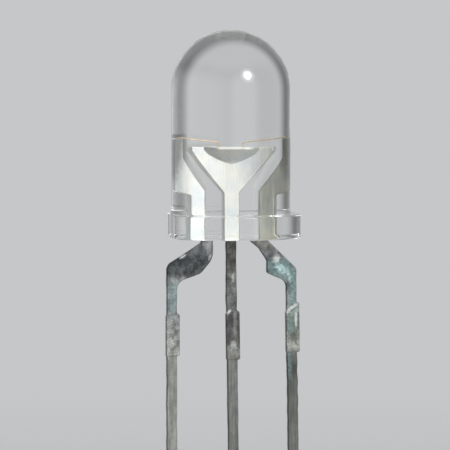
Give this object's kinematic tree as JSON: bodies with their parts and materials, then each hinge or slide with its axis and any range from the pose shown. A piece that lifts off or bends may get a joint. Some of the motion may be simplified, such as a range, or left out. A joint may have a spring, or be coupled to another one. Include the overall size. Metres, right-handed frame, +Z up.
{
  "type": "through hole led",
  "caption": "Water-clear domed light-emitting diode with a flanged body, two colour dies on a shared cup and straight solderable leads for a circuit board.",
  "frame": {"origin": "centre of the flange's underside, on the optical axis", "axes": "+Z up the optical axis to the dome, +X along the row of leads, flat of the flange facing -X, -Y the side the camera sees"},
  "size_m": [0.0058, 0.0058, 0.0362],
  "materials": {
    "clear_resin": "polished",
    "tinned_steel": "dull tinned",
    "silver_glue": "matte",
    "die_amber": "semi-gloss",
    "die_green": "semi-gloss",
    "gold_wire": "polished"
  },
  "bodies": {
    "root": {"lens_body": "clear_resin", "common_lead": "tinned_steel", "left_lead": "tinned_steel", "right_lead": "tinned_steel", "left_die_glue": "silver_glue", "right_die_glue": "silver_glue", "left_die": "die_amber", "right_die": "die_green", "left_bond_wire": "gold_wire", "right_bond_wire": "gold_wire"}
  },
  "joints": []
}
